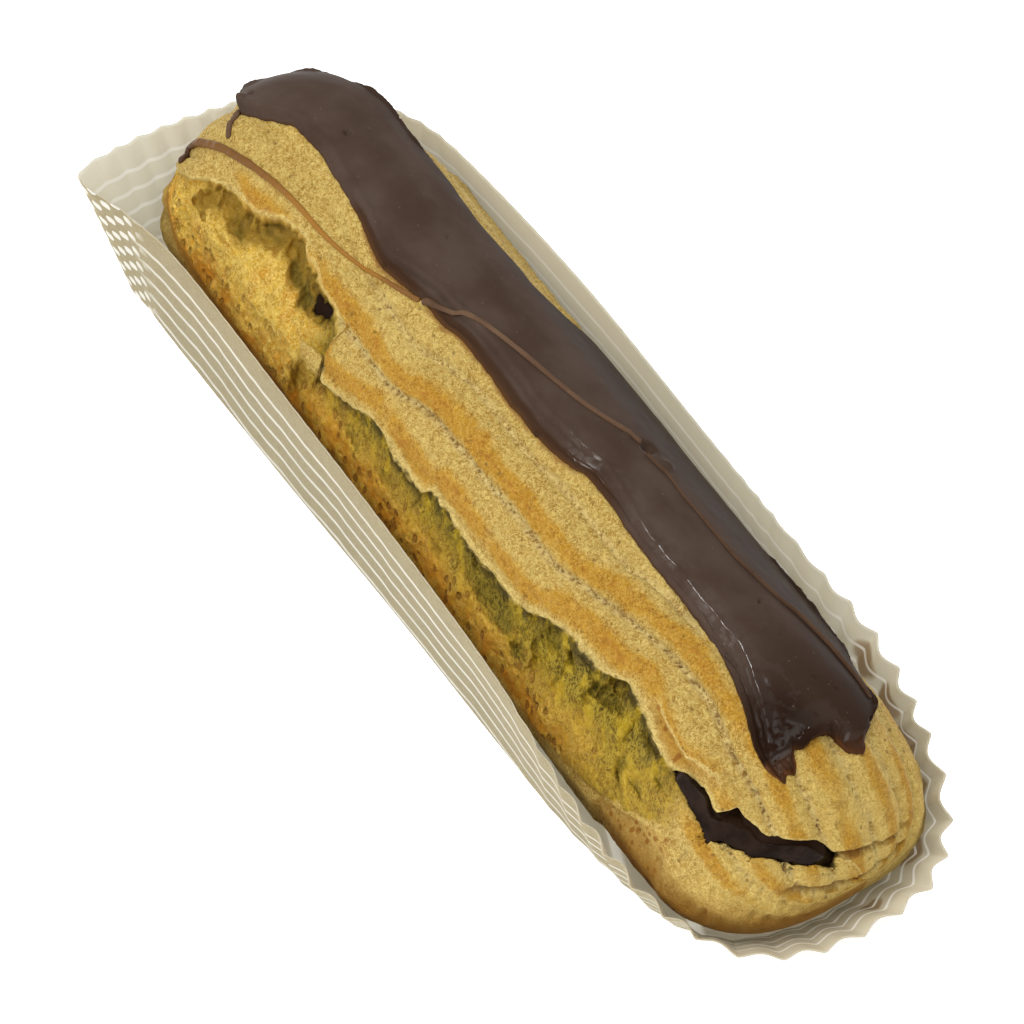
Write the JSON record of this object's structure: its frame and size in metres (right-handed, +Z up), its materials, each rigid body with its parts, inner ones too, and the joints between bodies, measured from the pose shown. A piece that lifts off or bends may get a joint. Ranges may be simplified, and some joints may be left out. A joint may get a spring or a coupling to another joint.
{
  "type": "chocolate eclair in a paper case",
  "caption": "Filled choux pastry finger with ridged golden crust, torn open along one side, topped with chocolate icing and drizzle, lying in a pleated paper case.",
  "frame": {"origin": "middle of the paper case's flat base, on the surface it stands on", "axes": "+X along the eclair towards the end whose filling shows, -Y the side that is split open, +Z up"},
  "size_m": [0.1596, 0.0537, 0.0359],
  "materials": {
    "choux": "matte baked crust, golden with paler grooves",
    "chocolate_cream": "soft satin cream",
    "chocolate_icing": "satin to glossy set icing",
    "paper": "matte greaseproof paper with thin white wavy lines"
  },
  "bodies": {
    "root": {"choux_shell": "choux", "chocolate_filling": "chocolate_cream", "chocolate_icing": "chocolate_icing", "paper_case": "paper"}
  },
  "joints": []
}
